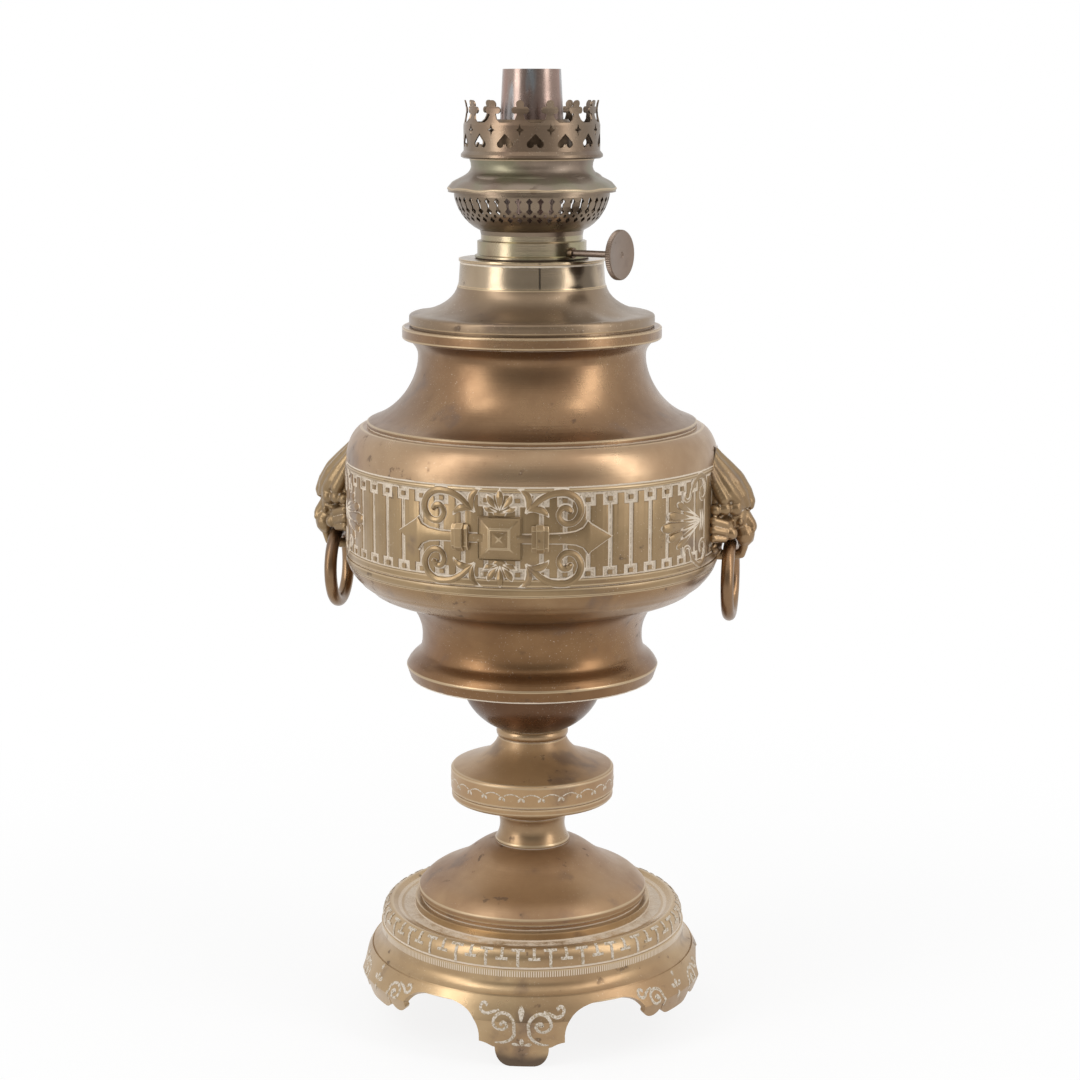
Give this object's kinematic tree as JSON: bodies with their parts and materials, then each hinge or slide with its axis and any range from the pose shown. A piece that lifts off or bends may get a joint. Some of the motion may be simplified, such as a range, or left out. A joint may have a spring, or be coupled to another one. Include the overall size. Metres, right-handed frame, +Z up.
{
  "type": "kerosene table lamp",
  "caption": "Brass kerosene table lamp: footed base, turned stem, vase with lion-mask rings, lift-out fount and a round-wick burner with a wick winder and a pronged chimney gallery.",
  "frame": {"origin": "on the table under the lamp's axis", "axes": "+Z up, the cartouche of the frieze faces -Y, the lion masks face +X and -X"},
  "size_m": [0.1828, 0.1556, 0.3864],
  "materials": {
    "aged_brass": "aged, worn satin",
    "pale_brass": "satin",
    "dark_brass": "darkened",
    "dull_steel": "dull",
    "seal": "oiled",
    "wick_cotton": "woven cotton"
  },
  "bodies": {
    "stand": {"base_foot": "aged_brass", "base_dome": "aged_brass", "stem_collar": "aged_brass", "stem_knop": "aged_brass", "stem_bead": "aged_brass", "vase_cup": "aged_brass", "vase_drum": "aged_brass", "vase_lower": "aged_brass", "frieze_band": "aged_brass", "vase_shoulder": "aged_brass", "vase_neck": "aged_brass", "tie_rod": "dull_steel", "tie_nuts": "dull_steel", "tie_washers": "dull_steel", "lion_mask_left": "aged_brass", "lion_mask_right": "aged_brass", "mask_bolts": "dull_steel", "mask_nuts": "dull_steel"},
    "ring_left": {"ring_left": "dark_brass"},
    "ring_right": {"ring_right": "dark_brass"},
    "fount": {"fount_tank": "pale_brass", "fount_lid": "aged_brass", "fount_collar": "aged_brass", "collar_thread_ring": "pale_brass"},
    "burner_seal": {"burner_gasket": "seal"},
    "burner": {"burner_case": "aged_brass", "air_basket": "aged_brass", "draught_cone": "dark_brass", "wick_tube": "pale_brass", "air_tube": "pale_brass", "shaft_bush": "dark_brass"},
    "wick_drive": {"wick_shaft": "dull_steel", "spur_wheels": "dull_steel", "wick_knob": "dark_brass"},
    "wick": {"wick": "wick_cotton"},
    "gallery": {"burner_cap": "aged_brass", "chimney_gallery": "aged_brass"}
  },
  "joints": [
    {"name": "ring_left_swing", "type": "hinge", "parent": "stand", "child": "ring_left", "pos_m": [-0.0808, 0, 0.2002], "axis": [0, 1, 0], "range_deg": [-5, 95]},
    {"name": "ring_right_swing", "type": "hinge", "parent": "stand", "child": "ring_right", "pos_m": [0.0808, 0, 0.2002], "axis": [0, -1, 0], "range_deg": [-5, 95]},
    {"name": "fount_lift", "type": "slide", "parent": "stand", "child": "fount", "axis": [0, 0, 1], "range_m": [0, 0.095]},
    {"name": "burner_rise", "type": "slide", "parent": "fount", "child": "burner_seal", "axis": [0, 0, 1], "range_m": [0, 0.0046]},
    {"name": "burner_turn", "type": "hinge", "parent": "burner_seal", "child": "burner", "pos_m": [0, 0, 0.3134], "axis": [0, 0, 1], "range_deg": [0, 1080]},
    {"name": "wick_turn", "type": "hinge", "parent": "burner", "child": "wick_drive", "pos_m": [-0.00187, -0.00464, 0.3158], "axis": [-0.9272, 0.3746, 0], "range_deg": [-230, 115]},
    {"name": "wick_lift", "type": "slide", "parent": "burner", "child": "wick", "axis": [0, 0, 1], "range_m": [-0.012, 0.006]},
    {"name": "gallery_lift", "type": "slide", "parent": "burner", "child": "gallery", "axis": [0, 0, 1], "range_m": [0, 0.06]}
  ],
  "couplings": [
    {"joint": "burner_rise", "follows": "burner_turn", "m_per_rad": 0.0002387},
    {"joint": "wick_lift", "follows": "wick_turn", "m_per_rad": 0.0029}
  ]
}
